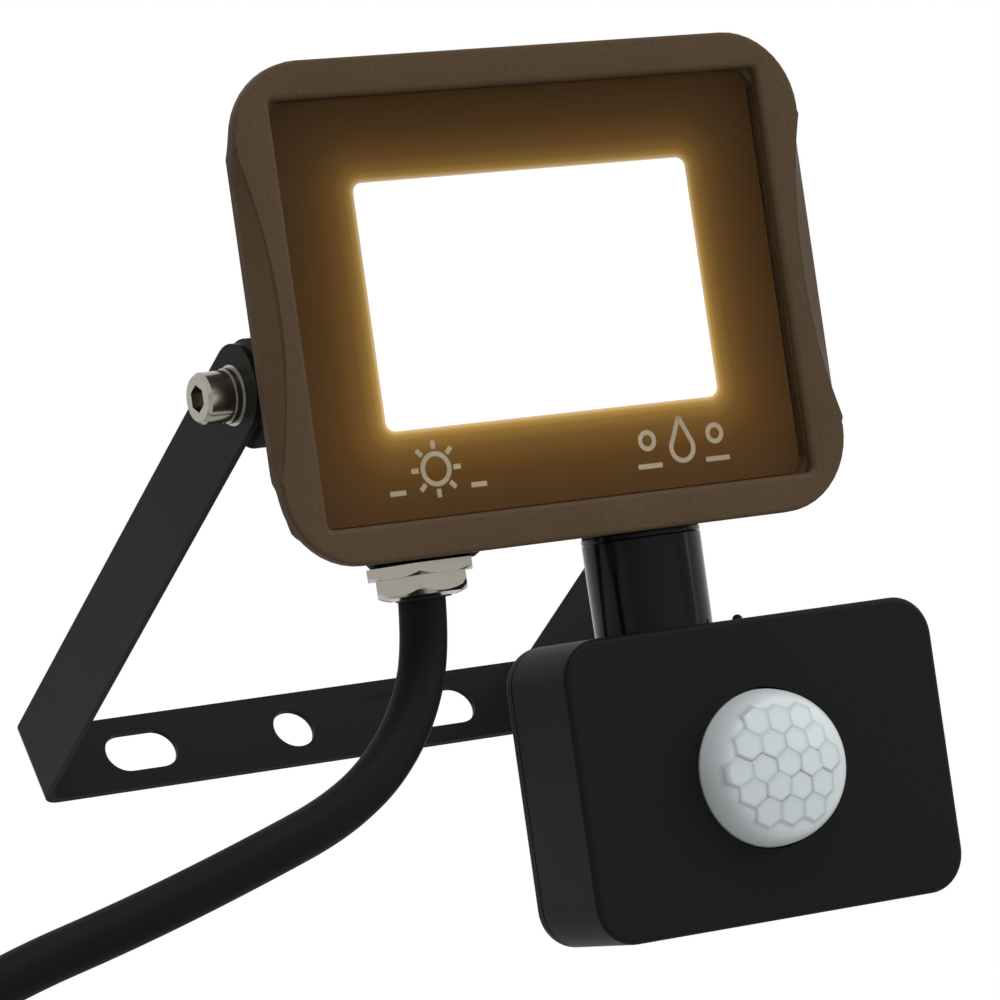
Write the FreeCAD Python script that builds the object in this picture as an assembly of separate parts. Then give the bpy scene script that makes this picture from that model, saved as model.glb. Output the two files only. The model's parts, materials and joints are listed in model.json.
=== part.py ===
import FreeCAD, Part
import math
import os

# Wall light with a movement sensor. Millimetres throughout.
# Row frame: origin at the centre hole of the bracket's bar on the wall face, X to the right seen from
# the front, Y into the wall (the wall is Y = 0) and Z up.
# Head frame: origin at the middle of the front rim, X right, Y into the lamp, Z up. It leans down by
# HEAD_TILT about the pivot. Sensor frame: origin at the middle of the sensor box's front face.

# ---- driving dimensions ----
BAR_W = 16.0
BAR_T = 2.0
BRACKET_W = 106.4
PIVOT_REACH = 111.5
BEND_R = 3.5
CENTRE_HOLE_R = 4.0
SLOT_X = 31.5
SLOT_LEN = 14.2
PIVOT_HOLE_R = 2.58

HEAD_TILT = 30.0
PIVOT_Y = 14.0
PIVOT_Z = -10.7

FRAME_W = 110.0
FRAME_H = 82.5
FRAME_R = 14.6
FRAME_T = 5.5
FRAME_EDGE = 1.8
OPEN_W = 94.8
OPEN_H = 69.9
SHELF_Y = 4.3
SHELF_W = 88.0
SHELF_H = 63.0
SCOOP_X = 144.0
SCOOP_Z = 1.0
SCOOP_R = 93.0
SCOOP_SLOPE = 4.0 / 2.8

GLASS_Y = 0.9
GLASS_T = 3.0
GLASS_GAP = 0.2

BODY_W = 97.4
BODY_H = 77.0
BODY_R = 12.0
BODY_BACK = 19.0
BODY_DRAFT = 1.2
WALL = 2.2
FLOOR_Y = 16.5
PAD_Y = 15.5
FIN_BACK = 27.5
FIN_PITCH = 7.8
FIN_HALF_COUNT = 5
BOSS_R = 9.0
BOSS_FACE = 51.0
FRAME_SCREW = (40.9, 30.8)
BOARD_SCREW = (35.0, 20.0)
BOARD_Y = 13.4
BOARD_T = 1.6

SCREW_R = 2.5
HEAD_R = 4.25
HEAD_L = 5.0
FLAT_WASHER_T = 1.0
SPRING_WASHER_T = 1.2

GLAND_X = -23.4
GLAND_Y = 15.0
GLAND_SEAT_Z = -41.6
FLANGE_Z = -43.6
NUT_Z = -47.3
CORD_R = 4.0

NECK_X = 21.3
NECK_Y = 16.5
NECK_SEAT_Z = -40.2
NECK_TOP_Z = -41.0
NECK_R = 10.15
FOOT_Z = -57.6
FOOT_R = 11.1
SPIGOT_R = 6.9

SENSOR_Z = -83.57
SENSOR_W = 73.0
SENSOR_H = 51.3
SENSOR_R = 7.0
SENSOR_SPLIT = 19.0
SENSOR_D = 22.0
SENSOR_WALL = 2.2
SENSOR_REST_PAN = -2.4
NECK_IN_BOX = (-12.0, 11.0)
COVER_SCREW = (31.0, 20.0)
SENSOR_BOARD_Y = 13.0

LENS_R = 13.55
LENS_HOLE_R = 13.75
LENS_SKIRT = 2.2
LENS_HEIGHT = 8.7
LENS_SPHERE = 17.2
LENS_RINGS = [(0.0, 1), (15.3, 6), (29.5, 12), (43.5, 18)]

KNOB_X = [-18.0, -6.0, 6.0]
KNOB_Y = 10.0
KNOB_R = 3.0

# Route of the supply cord in the row frame, from inside the gland to its free end.
CORD_ROUTE = [
    (-23.4, -97.9, -21.6),
    (-23.4, -89.4, -36.3),
    (-31.0, -84.9, -50.8),
    (-44.8, -81.6, -62.0),
    (-66.1, -77.2, -67.5),
    (-86.2, -71.5, -71.3),
    (-106.3, -65.2, -73.7),
    (-123.7, -59.4, -78.8),
    (-138.4, -54.1, -87.6),
    (-149.9, -49.3, -100.6),
    (-157.4, -45.4, -116.5),
    (-160.6, -42.6, -134.0),
    (-160.2, -40.9, -151.9),
    (-162.4, -38.3, -170.6),
    (-165.7, -35.1, -189.0),
    (-169.6, -33.3, -208.6),
    (-174.2, -31.2, -226.9),
]


# ---- small helpers ----
def vec(x, y, z):
    return FreeCAD.Vector(x, y, z)


def block(x0, x1, y0, y1, z0, z1):
    return Part.makeBox(x1 - x0, y1 - y0, z1 - z0, vec(x0, y0, z0))


def rod(radius, start, end):
    axis = vec(*end).sub(vec(*start))
    return Part.makeCylinder(radius, axis.Length, vec(*start), axis)


def ring(outer, inner, start, end):
    return rod(outer, start, end).cut(rod(inner, start, end))


def rounded_wire(width, height, radius, y, cx=0.0, cz=0.0):
    """Closed rounded rectangle in the plane Y = y."""
    a = width / 2.0
    b = height / 2.0
    k = radius * (1.0 - math.sqrt(0.5))
    left, right = cx - a, cx + a
    low, high = cz - b, cz + b
    corners = [
        ((right - radius, low), (right - k, low + k), (right, low + radius)),
        ((right, high - radius), (right - k, high - k), (right - radius, high)),
        ((left + radius, high), (left + k, high - k), (left, high - radius)),
        ((left, low + radius), (left + k, low + k), (left + radius, low)),
    ]
    edges = []
    last = corners[-1][2]
    for first, middle, end in corners:
        edges.append(Part.LineSegment(vec(last[0], y, last[1]), vec(first[0], y, first[1])).toShape())
        points = [vec(p[0], y, p[1]) for p in (first, middle, end)]
        edges.append(Part.Arc(*points).toShape())
        last = end
    return Part.Wire(edges)


def plate(width, height, radius, y0, y1, cx=0.0, cz=0.0):
    face = Part.Face(rounded_wire(width, height, radius, y0, cx, cz))
    return face.extrude(vec(0, y1 - y0, 0))


def taper(front, y0, back, y1):
    """Drafted prism between two rounded rectangles, each given as width, height and radius."""
    wires = [rounded_wire(*front, y0), rounded_wire(*back, y1)]
    return Part.makeLoft(wires, True, True)


def turned(points, x, y):
    """Solid of revolution about a vertical axis through x, y from (radius, z) points."""
    corners = [vec(x + r, y, z) for r, z in points]
    face = Part.Face(Part.makePolygon(corners + [corners[0]]))
    return face.revolve(vec(x, y, 0), vec(0, 0, 1), 360)


def hexagon(radius, x, y, z0, z1):
    corners = []
    for i in range(7):
        angle = math.radians(60.0 * i)
        corners.append(vec(x + radius * math.cos(angle), y + radius * math.sin(angle), z0))
    return Part.Face(Part.makePolygon(corners)).extrude(vec(0, 0, z1 - z0))


def corners_of(pair):
    return [(sx * pair[0], sz * pair[1]) for sx in (-1, 1) for sz in (-1, 1)]


def round_front_edge(solid, y, radius):
    """Rounds the edges that lie in the plane Y = y."""
    chosen = []
    for edge in solid.Edges:
        if all(abs(v.Point.y - y) < 1e-6 for v in edge.Vertexes):
            chosen.append(edge)
    return solid.makeFillet(radius, chosen)


def tidy(shape):
    """One clean shape: faces that share a surface are merged."""
    return shape.removeSplitter()


# ---- placing ----
def from_head(shape):
    """Moves a shape from the head frame to the row frame."""
    turn = FreeCAD.Placement(vec(0, 0, 0), FreeCAD.Rotation(vec(1, 0, 0), HEAD_TILT), vec(0, PIVOT_Y, PIVOT_Z))
    move = FreeCAD.Placement(vec(0, -PIVOT_REACH - PIVOT_Y, -PIVOT_Z), FreeCAD.Rotation())
    done = shape.copy()
    done.Placement = move.multiply(turn).multiply(shape.Placement)
    return done


def from_sensor(shape):
    """Moves a shape from the sensor frame to the row frame, turned on the neck by its angle at rest."""
    angle = math.radians(SENSOR_REST_PAN)
    dx = NECK_IN_BOX[0] * math.cos(angle) - NECK_IN_BOX[1] * math.sin(angle)
    dy = NECK_IN_BOX[0] * math.sin(angle) + NECK_IN_BOX[1] * math.cos(angle)
    place = FreeCAD.Placement(
        vec(NECK_X - dx, NECK_Y - dy, SENSOR_Z),
        FreeCAD.Rotation(vec(0, 0, 1), SENSOR_REST_PAN),
    )
    done = shape.copy()
    done.Placement = place.multiply(shape.Placement)
    return from_head(done)


# ---- bracket (row frame) ----
def bracket():
    a = BRACKET_W / 2.0
    b = a - BAR_T
    tip = -PIVOT_REACH - BAR_W / 2.0
    k = math.sqrt(0.5)
    centre = a - BEND_R
    inner_r = BEND_R - BAR_T

    def bend(radius, side):
        start = vec(side * (centre + radius), -BEND_R, 0)
        middle = vec(side * (centre + radius * k), -BEND_R + radius * k, 0)
        end = vec(side * centre, -BEND_R + radius, 0)
        return start, middle, end

    lo, lm, le = bend(BEND_R, -1)
    ro, rm, re = bend(BEND_R, 1)
    ilo, ilm, ile = bend(inner_r, -1)
    iro, irm, ire = bend(inner_r, 1)
    edges = [
        Part.LineSegment(vec(-a, tip, 0), lo),
        Part.Arc(lo, lm, le),
        Part.LineSegment(le, re),
        Part.Arc(re, rm, ro),
        Part.LineSegment(ro, vec(a, tip, 0)),
        Part.LineSegment(vec(a, tip, 0), vec(b, tip, 0)),
        Part.LineSegment(vec(b, tip, 0), iro),
        Part.Arc(iro, irm, ire),
        Part.LineSegment(ire, ile),
        Part.Arc(ile, ilm, ilo),
        Part.LineSegment(ilo, vec(-b, tip, 0)),
        Part.LineSegment(vec(-b, tip, 0), vec(-a, tip, 0)),
    ]
    strip = Part.Face(Part.Wire([e.toShape() for e in edges]))
    strip.translate(vec(0, 0, -BAR_W / 2.0))
    strip = strip.extrude(vec(0, 0, BAR_W))
    side_view = block(-60, 60, -PIVOT_REACH, 5, -BAR_W, BAR_W)
    side_view = side_view.fuse(rod(BAR_W / 2.0, (-60, -PIVOT_REACH, 0), (60, -PIVOT_REACH, 0)))
    strip = strip.common(side_view)
    strip = strip.cut(rod(PIVOT_HOLE_R, (-60, -PIVOT_REACH, 0), (60, -PIVOT_REACH, 0)))
    strip = strip.cut(rod(CENTRE_HOLE_R, (0, -10, 0), (0, 10, 0)))
    for side in (-1, 1):
        slot = plate(SLOT_LEN, 2 * CENTRE_HOLE_R, CENTRE_HOLE_R - 0.001, -10, 10, side * SLOT_X, 0)
        strip = strip.cut(slot)
    return tidy(strip)


# ---- lamp head (head frame) ----
def scoop(side):
    """Hollow cone that takes the crescent off one side of the rim."""
    y0, y1 = -1.0, 4.0
    r0 = SCOOP_R - SCOOP_SLOPE * y0
    r1 = SCOOP_R - SCOOP_SLOPE * y1
    return Part.makeCone(r0, r1, y1 - y0, vec(side * SCOOP_X, y0, SCOOP_Z), vec(0, 1, 0))


def front_frame():
    body = plate(FRAME_W, FRAME_H, FRAME_R, 0, FRAME_T)
    body = round_front_edge(body, 0.0, FRAME_EDGE)
    for side in (-1, 1):
        body = body.cut(scoop(side))
    lip = plate(BODY_W - 2 * WALL - 0.6, BODY_H - 2 * WALL - 0.6, BODY_R - WALL, FRAME_T, FRAME_T + 1.5)
    body = body.fuse(lip)
    for x, z in corners_of(FRAME_SCREW):
        body = body.fuse(rod(2.9, (x, FRAME_T - 0.5, z), (x, 12.0, z)))
    body = body.cut(plate(OPEN_W, OPEN_H, 1.0, -1, SHELF_Y))
    edge = 1.2
    body = body.cut(taper((OPEN_W + edge, OPEN_H + edge, 1.6), -0.1, (OPEN_W, OPEN_H, 1.0), 0.5))
    body = body.cut(plate(SHELF_W, SHELF_H, 12.0, SHELF_Y - 1, FRAME_T + 3))
    for x, z in corners_of(FRAME_SCREW):
        body = body.fuse(rod(2.9, (x, FRAME_T, z), (x, 12.0, z)))
        body = body.cut(rod(1.5, (x, 6.5, z), (x, 13.0, z)))
    return tidy(body)


def front_glass():
    w = OPEN_W - 2 * GLASS_GAP
    h = OPEN_H - 2 * GLASS_GAP
    bevel = taper((w - 0.8, h - 0.8, 0.6), GLASS_Y, (w, h, 0.8), GLASS_Y + 0.4)
    return bevel.fuse(plate(w, h, 0.8, GLASS_Y + 0.4, GLASS_Y + GLASS_T)).removeSplitter()


def glass_gasket():
    w = OPEN_W - 2 * GLASS_GAP
    h = OPEN_H - 2 * GLASS_GAP
    outer = plate(w, h, 0.8, GLASS_Y + GLASS_T, SHELF_Y)
    return outer.cut(plate(SHELF_W + 0.4, SHELF_H + 0.4, 12.0, GLASS_Y, SHELF_Y + 1))


def fins():
    """Upright cooling fins, thinner at the tip, trimmed to a cover that narrows to the back."""
    shape = None
    for i in range(-FIN_HALF_COUNT, FIN_HALF_COUNT + 1):
        x = i * FIN_PITCH
        corners = [
            vec(x - 1.1, BODY_BACK - 1, -40),
            vec(x + 1.1, BODY_BACK - 1, -40),
            vec(x + 0.7, FIN_BACK, -40),
            vec(x - 0.7, FIN_BACK, -40),
        ]
        fin = Part.Face(Part.makePolygon(corners + [corners[0]])).extrude(vec(0, 0, 80))
        shape = fin if shape is None else shape.fuse(fin)
    w = BODY_W - 2 * BODY_DRAFT - 2.0
    h = BODY_H - 2 * BODY_DRAFT - 2.0
    cover = taper((w, h, BODY_R - 2), BODY_BACK - 1, (w - 10, h - 14, BODY_R - 4), FIN_BACK)
    return shape.common(cover)


def rear_housing():
    w = BODY_W
    h = BODY_H
    d = 2 * BODY_DRAFT
    shell = taper((w, h, BODY_R), FRAME_T, (w - d, h - d, BODY_R - 1), BODY_BACK)
    shell = shell.fuse(fins())
    for side in (-1, 1):
        boss = rod(BOSS_R, (side * 38.0, PIVOT_Y, PIVOT_Z), (side * BOSS_FACE, PIVOT_Y, PIVOT_Z))
        shell = shell.fuse(boss)
    gland_seat = block(GLAND_X - 10.9, GLAND_X + 10.8, FRAME_T, 24.6, GLAND_SEAT_Z, -33.0)
    shell = shell.fuse(gland_seat)
    shell = shell.fuse(rod(11.0, (NECK_X, NECK_Y, NECK_SEAT_Z), (NECK_X, NECK_Y, -31.0)))
    w -= 2 * WALL
    h -= 2 * WALL
    shell = shell.cut(taper((w, h, BODY_R - WALL), FRAME_T, (w - d, h - d, BODY_R - WALL - 1), FLOOR_Y))
    shell = shell.cut(block(-70, 70, -5, FRAME_T, -60, 60))
    shell = shell.fuse(plate(80, 50, 4, PAD_Y, FLOOR_Y + 1))
    for side in (-1, 1):
        inner = block(side * 44.0 - 4.0, side * 44.0 + 4.0, PIVOT_Y - 5.5, FLOOR_Y + 1, PIVOT_Z - 5.5, PIVOT_Z + 5.5)
        shell = shell.fuse(inner)
        hole = rod(SCREW_R + 0.05, (side * 41.5, PIVOT_Y, PIVOT_Z), (side * 60.0, PIVOT_Y, PIVOT_Z))
        shell = shell.cut(hole)
    for x, z in corners_of(FRAME_SCREW):
        shell = shell.fuse(rod(3.4, (x, 12.0, z), (x, FLOOR_Y + 1, z)))
        shell = shell.cut(rod(1.7, (x, 11.0, z), (x, 30.0, z)))
        shell = shell.cut(rod(3.6, (x, BODY_BACK, z), (x, 30.0, z)))
    for x, z in corners_of(BOARD_SCREW):
        shell = shell.cut(rod(1.5, (x, PAD_Y - 1, z), (x, 18.2, z)))
    shell = shell.cut(rod(5.95, (GLAND_X, GLAND_Y, -50.0), (GLAND_X, GLAND_Y, -34.0)))
    shell = shell.cut(rod(7.55, (NECK_X, NECK_Y, -50.0), (NECK_X, NECK_Y, -33.5)))
    return tidy(shell)


def reflector():
    front = (66.4, 42.5, 2.0)
    back = (50.0, 28.0, 1.5)
    y0, y1 = 4.2, BOARD_Y
    outer = taper((front[0] + 2, front[1] + 2, 3.0), y0, (back[0] + 2, back[1] + 2, 2.5), y1)
    flange = plate(73.0, 49.0, 4.0, y0, y0 + 1.0)
    return tidy(outer.fuse(flange).cut(taper(front, y0, back, y1)))


def led_board():
    board = plate(78, 48, 3, BOARD_Y, BOARD_Y + BOARD_T)
    for x, z in corners_of(BOARD_SCREW):
        board = board.cut(rod(1.6, (x, 10, z), (x, 20, z)))
    return board


def thermal_pad():
    pad = plate(76, 46, 2, BOARD_Y + BOARD_T, PAD_Y)
    for x, z in corners_of(BOARD_SCREW):
        pad = pad.cut(rod(1.9, (x, 10, z), (x, 20, z)))
    return pad


def led_chips():
    chips = []
    for i in range(5):
        for j in range(3):
            x = (i - 2) * 9.0
            z = (j - 1) * 8.5
            chips.append(block(x - 1.75, x + 1.75, BOARD_Y - 0.8, BOARD_Y, z - 1.4, z + 1.4))
    return Part.makeCompound(chips)


def driver_components():
    y = BOARD_Y
    parts = [
        block(30.5, 36.5, y - 2.3, y, -12, -5.5),
        block(30.5, 36.5, y - 2.3, y, -2.5, 4),
        block(-36.5, -31.0, y - 2.5, y, -13, -6),
        block(-36.0, -30.5, y - 2.0, y, -2, 3),
        rod(2.6, (-34.0, y - 2.8, 10.0), (-34.0, y, 10.0)),
        rod(2.6, (34.0, y - 2.8, 10.5), (34.0, y, 10.5)),
    ]
    return Part.makeCompound(parts)


def pan_screw(x, z, head_y, head_r, head_h, shank_r, tip_y):
    """Round-headed screw along Y; the head stands on head_y, towards the tip's far side."""
    away = 1.0 if head_y > tip_y else -1.0
    head = rod(head_r, (x, head_y, z), (x, head_y + away * head_h, z))
    shank = rod(shank_r, (x, tip_y, z), (x, head_y, z))
    slot_y = head_y + away * head_h
    recess = rod(head_r * 0.45, (x, slot_y - away * head_h * 0.45, z), (x, slot_y, z))
    return head.fuse(shank).cut(recess)


def board_screws():
    return Part.makeCompound([pan_screw(x, z, BOARD_Y, 2.8, 1.6, 1.45, 18.0) for x, z in corners_of(BOARD_SCREW)])


def frame_screws():
    return Part.makeCompound([pan_screw(x, z, BODY_BACK, 2.8, 2.0, 1.45, 8.0) for x, z in corners_of(FRAME_SCREW)])


def stack(side):
    """Distances from the middle plane to the washers and the screw head."""
    face = BRACKET_W / 2.0 + 0.1
    flat = face + FLAT_WASHER_T
    spring = flat + SPRING_WASHER_T
    return [side * d for d in (face, flat, spring, spring + HEAD_L)]


def pivot_screw(side):
    face, flat, spring, end = stack(side)
    y, z = PIVOT_Y, PIVOT_Z
    shank = rod(SCREW_R, (side * 43.0, y, z), (spring, y, z))
    head = Part.makeCylinder(HEAD_R, HEAD_L - 0.6, vec(spring, y, z), vec(side, 0, 0))
    cap = Part.makeCone(HEAD_R, HEAD_R - 0.5, 0.6, vec(end - side * 0.6, y, z), vec(side, 0, 0))
    corners = []
    for i in range(7):
        angle = math.radians(60.0 * i + 30.0)
        corners.append(vec(end - side * 2.6, y + 2.31 * math.cos(angle), z + 2.31 * math.sin(angle)))
    socket = Part.Face(Part.makePolygon(corners)).extrude(vec(side * 3, 0, 0))
    return tidy(shank.fuse(head).fuse(cap).cut(socket))


def flat_washer(side):
    face, flat, spring, end = stack(side)
    return ring(5.0, SCREW_R + 0.1, (face, PIVOT_Y, PIVOT_Z), (flat, PIVOT_Y, PIVOT_Z))


def spring_washer(side):
    """Split ring with a slanting gap."""
    face, flat, spring, end = stack(side)
    washer = ring(4.55, SCREW_R + 0.1, (flat, PIVOT_Y, PIVOT_Z), (spring, PIVOT_Y, PIVOT_Z))
    gap = block(-1.5, 1.5, -0.35, 0.35, 0, 6)
    gap.rotate(vec(0, 0, 0), vec(0, 0, 1), 35 * side)
    gap.rotate(vec(0, 0, 0), vec(1, 0, 0), 200)
    gap.translate(vec((flat + spring) / 2.0, PIVOT_Y, PIVOT_Z))
    return washer.cut(gap)


def gland_body():
    flange = hexagon(10.05, GLAND_X, GLAND_Y, FLANGE_Z, GLAND_SEAT_Z)
    rounding = turned([(0, FLANGE_Z), (8.9, FLANGE_Z), (10.1, FLANGE_Z + 0.7), (10.1, GLAND_SEAT_Z), (0, GLAND_SEAT_Z)],
                      GLAND_X, GLAND_Y)
    stub = rod(5.9, (GLAND_X, GLAND_Y, GLAND_SEAT_Z), (GLAND_X, GLAND_Y, -35.0))
    collar = rod(5.6, (GLAND_X, GLAND_Y, -45.0), (GLAND_X, GLAND_Y, FLANGE_Z))
    body = flange.common(rounding).fuse(stub).fuse(collar)
    return tidy(body.cut(rod(CORD_R + 0.1, (GLAND_X, GLAND_Y, -50), (GLAND_X, GLAND_Y, -30))))


def gland_nut():
    """Domed cap nut: a hexagon trimmed by a turned dome, so each flat ends in an arch."""
    prism = hexagon(8.6, GLAND_X, GLAND_Y, NUT_Z, FLANGE_Z)
    dome = turned([(0, FLANGE_Z), (8.7, FLANGE_Z), (8.7, -44.7), (8.2, -45.9), (7.1, -46.8), (5.6, NUT_Z), (0, NUT_Z)],
                  GLAND_X, GLAND_Y)
    nut = prism.common(dome)
    nut = nut.cut(rod(5.7, (GLAND_X, GLAND_Y, -45.1), (GLAND_X, GLAND_Y, -40)))
    return tidy(nut.cut(rod(4.9, (GLAND_X, GLAND_Y, -50), (GLAND_X, GLAND_Y, -40))))


def gland_seal():
    return turned([(CORD_R, -45.0), (5.6, -45.0), (5.6, -45.1), (4.9, -45.1), (4.9, -47.1), (4.6, -47.5), (CORD_R, -47.5)],
                  GLAND_X, GLAND_Y)


def sensor_neck():
    points = [
        (4.5, -34.0), (7.5, -34.0), (7.5, NECK_TOP_Z), (NECK_R + 0.1, NECK_TOP_Z),
        (NECK_R - 0.05, FOOT_Z + 1.0), (FOOT_R - 0.4, FOOT_Z + 1.0), (FOOT_R, FOOT_Z + 0.6), (FOOT_R, FOOT_Z),
        (SPIGOT_R, FOOT_Z), (SPIGOT_R, -60.7), (6.2, -60.7), (6.2, -61.7), (SPIGOT_R, -61.7),
        (SPIGOT_R, -63.2), (6.3, -63.8), (4.5, -63.8),
    ]
    return turned(points, NECK_X, NECK_Y)


def neck_seal():
    return ring(10.0, 7.55, (NECK_X, NECK_Y, NECK_TOP_Z), (NECK_X, NECK_Y, NECK_SEAT_Z))


def neck_clip():
    clip = ring(7.8, 6.2, (NECK_X, NECK_Y, -61.7), (NECK_X, NECK_Y, -60.7))
    return clip.cut(block(NECK_X - 2.5, NECK_X + 2.5, NECK_Y, NECK_Y + 10, -63, -60))


# ---- supply cord (row frame) ----
def cord_tube(points, radius):
    """Tube on straight runs joined by tangent arcs. Returns the solid, the arcs' radii and the length."""
    route = [vec(*p) for p in points]
    edges = []
    radii = []
    last = route[0]
    for i in range(1, len(route) - 1):
        before = route[i].sub(route[i - 1])
        after = route[i + 1].sub(route[i])
        half = before.getAngle(after) / 2.0
        shorter = min(before.Length, after.Length)
        r = 0.45 * shorter / math.tan(half)
        cut = r * math.tan(half)
        start = route[i].sub(vec(*before).normalize() * cut)
        end = route[i].add(vec(*after).normalize() * cut)
        middle = (start + end) * 0.5
        inward = (middle - route[i]).normalize()
        middle = route[i] + inward * (r / math.cos(half) - r)
        edges.append(Part.LineSegment(last, start).toShape())
        edges.append(Part.Arc(start, middle, end).toShape())
        radii.append(r)
        last = end
    edges.append(Part.LineSegment(last, route[-1]).toShape())
    path = Part.Wire(edges)
    first = route[1].sub(route[0])
    section = Part.Wire(Part.makeCircle(radius, route[0], first))
    tube = path.makePipeShell([section], True, False)
    return tube, radii, path.Length


def mains_cord():
    tube, radii, length = cord_tube(CORD_ROUTE, CORD_R)
    expected = math.pi * CORD_R ** 2 * length
    print("cord length %.1f, radii %s" % (length, ["%.0f" % r for r in radii]))
    print("cord volume %.0f, section times length %.0f" % (tube.Volume, expected))
    return tube


def cord_cores():
    """Three insulated cores that stand out of the cord's free end."""
    end = vec(*CORD_ROUTE[-1])
    along = end.sub(vec(*CORD_ROUTE[-2])).normalize()
    across = along.cross(vec(0, 1, 0)).normalize()
    other = along.cross(across)
    cores = []
    for i in range(3):
        angle = math.radians(120.0 * i + 30.0)
        shift = across * (1.9 * math.cos(angle)) + other * (1.9 * math.sin(angle))
        cores.append(Part.makeCylinder(1.3, 12.0 - i, end + shift, along))
    return Part.makeCompound(cores)


# ---- sensor (sensor frame) ----
def sensor_front_cover():
    body = plate(SENSOR_W, SENSOR_H, SENSOR_R, 0, SENSOR_SPLIT)
    body = round_front_edge(body, 0.0, 1.0)
    w = SENSOR_W - 2 * SENSOR_WALL
    h = SENSOR_H - 2 * SENSOR_WALL
    body = body.cut(plate(w, h, SENSOR_R - SENSOR_WALL, SENSOR_WALL, SENSOR_SPLIT + 1))
    for x, z in corners_of(COVER_SCREW):
        body = body.fuse(rod(3.0, (x, 1.5, z), (x, SENSOR_SPLIT, z)))
        body = body.cut(rod(1.2, (x, 8.0, z), (x, SENSOR_SPLIT + 1, z)))
    for i in range(3):
        angle = math.radians(120.0 * i + 90.0)
        x, z = 19.3 * math.cos(angle), 19.3 * math.sin(angle)
        body = body.fuse(rod(0.85, (x, 1.5, z), (x, 5.2, z)))
    for x, z in ((-28.0, 12.0), (28.5, 13.0), (28.5, -13.5)):
        body = body.fuse(rod(2.0, (x, 1.5, z), (x, SENSOR_BOARD_Y, z)))
        body = body.cut(rod(0.95, (x, 7.0, z), (x, SENSOR_BOARD_Y + 1, z)))
    body = body.cut(rod(LENS_HOLE_R, (0, -1, 0), (0, 4, 0)))
    x, y = NECK_IN_BOX
    body = body.cut(rod(SPIGOT_R + 0.08, (x, y, 15), (x, y, 30)))
    nib = Part.makeSphere(0.9, vec(x + 12.6, 4.2, SENSOR_H / 2.0 - 0.1))
    body = body.fuse(nib)
    for x in KNOB_X:
        body = body.cut(rod(KNOB_R + 0.08, (x, KNOB_Y, -30), (x, KNOB_Y, -20)))
    return tidy(body)


def cover_seal():
    outer = plate(SENSOR_W - 1.0, SENSOR_H - 1.0, SENSOR_R - 0.5, SENSOR_SPLIT, SENSOR_SPLIT + 0.3)
    return outer.cut(plate(SENSOR_W - 4.2, SENSOR_H - 4.2, SENSOR_R - 2.1, SENSOR_SPLIT - 1, SENSOR_SPLIT + 1))


def sensor_rear_cover():
    front = SENSOR_SPLIT + 0.3
    body = plate(SENSOR_W, SENSOR_H, SENSOR_R, front, SENSOR_D)
    body = round_front_edge(body, SENSOR_D, 1.5)
    w = SENSOR_W - 2 * SENSOR_WALL - 0.6
    h = SENSOR_H - 2 * SENSOR_WALL - 0.6
    lip = plate(w, h, 4.5, front - 1.8, front).cut(plate(w - 2.8, h - 2.8, 3.1, front - 3, front))
    for x, z in corners_of(COVER_SCREW):
        lip = lip.cut(rod(3.4, (x, 10, z), (x, front, z)))
    lip = lip.cut(block(NECK_IN_BOX[0] - 9, NECK_IN_BOX[0] + 9, 10, front, 10, 30))
    body = body.fuse(lip)
    for x, z in corners_of(COVER_SCREW):
        body = body.cut(rod(1.4, (x, 15, z), (x, 30, z)))
        body = body.cut(rod(2.8, (x, SENSOR_D - 1.6, z), (x, 30, z)))
    return tidy(body)


def cover_screws():
    seat = SENSOR_D - 1.6
    return Part.makeCompound([pan_screw(x, z, seat, 2.5, 1.5, 1.15, 9.0) for x, z in corners_of(COVER_SCREW)])


def lens():
    """Dome of flat cells: a ball cap cut by planes that touch a smaller ball, one plane for each cell."""
    middle = LENS_SPHERE - LENS_HEIGHT
    ball = Part.makeSphere(LENS_SPHERE * 1.014, vec(0, middle, 0))
    for polar, count in LENS_RINGS:
        for i in range(count):
            phi = 360.0 * i / count + (7.0 if count > 6 else 0.0)
            tool = Part.makeBox(14, 4, 14, vec(-7, -LENS_SPHERE - 4, -7))
            tool.rotate(vec(0, 0, 0), vec(1, 0, 0), polar)
            tool.rotate(vec(0, 0, 0), vec(0, 1, 0), phi)
            tool.translate(vec(0, middle, 0))
            ball = ball.cut(tool)
    barrel = rod(LENS_R, (0, -20, 0), (0, SENSOR_WALL, 0))
    dome = ball.common(barrel).common(block(-20, 20, -20, -LENS_SKIRT, -20, 20))
    skirt = rod(LENS_R, (0, -LENS_SKIRT, 0), (0, SENSOR_WALL, 0))
    flange = rod(16.0, (0, SENSOR_WALL, 0), (0, SENSOR_WALL + 1.2, 0))
    body = dome.fuse(skirt).fuse(flange)
    hollow = Part.makeSphere(LENS_SPHERE - 1.0, vec(0, middle, 0)).common(rod(12.4, (0, -20, 0), (0, 0, 0)))
    hollow = hollow.fuse(rod(12.4, (0, -1.0, 0), (0, SENSOR_WALL + 2, 0)))
    return tidy(body.cut(hollow))


def lens_retainer():
    y0 = SENSOR_WALL + 1.2
    body = ring(17.4, 12.6, (0, y0, 0), (0, y0 + 1.2, 0))
    body = body.fuse(ring(17.4, 16.1, (0, SENSOR_WALL, 0), (0, y0 + 0.2, 0)))
    for i in range(3):
        angle = math.radians(120.0 * i + 90.0)
        x, z = 19.3 * math.cos(angle), 19.3 * math.sin(angle)
        body = body.fuse(rod(2.2, (x, SENSOR_WALL, z), (x, y0 + 1.2, z)))
        body = body.cut(rod(0.9, (x, 0, z), (x, 10, z)))
    body = body.cut(rod(16.1, (0, SENSOR_WALL, 0), (0, y0, 0)))
    return tidy(body)


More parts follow.
